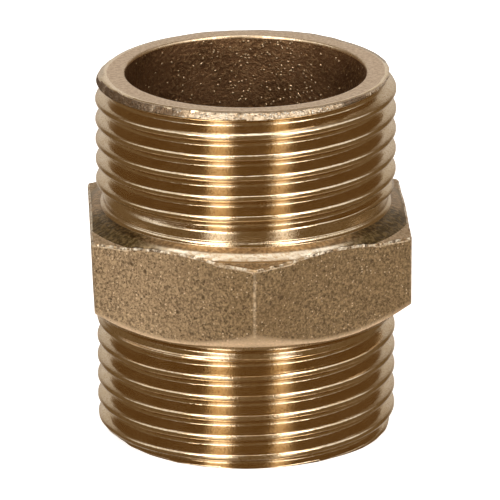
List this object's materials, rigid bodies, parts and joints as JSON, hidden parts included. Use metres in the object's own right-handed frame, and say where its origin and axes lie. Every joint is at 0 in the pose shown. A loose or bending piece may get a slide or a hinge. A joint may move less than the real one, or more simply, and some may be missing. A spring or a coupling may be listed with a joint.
{
  "type": "hex nipple",
  "caption": "Bronze hex nipple: a male parallel pipe thread at each end, a cast hexagon between them and a straight waterway bore.",
  "frame": {"origin": "centre of the lower end face, on the axis of the bore", "axes": "+Z along the bore, towards the end with the longer thread, where a low round boss stands on the hexagon; -Y towards a corner of the hexagon, +X square to one of its flats"},
  "size_m": [0.0356, 0.041, 0.0408],
  "materials": {
    "bronze": "cast bronze: blasted matte skin on the hexagon, bore and end faces, bright turned threads and relief grooves"
  },
  "bodies": {
    "root": {"nipple_body": "bronze"}
  },
  "joints": []
}
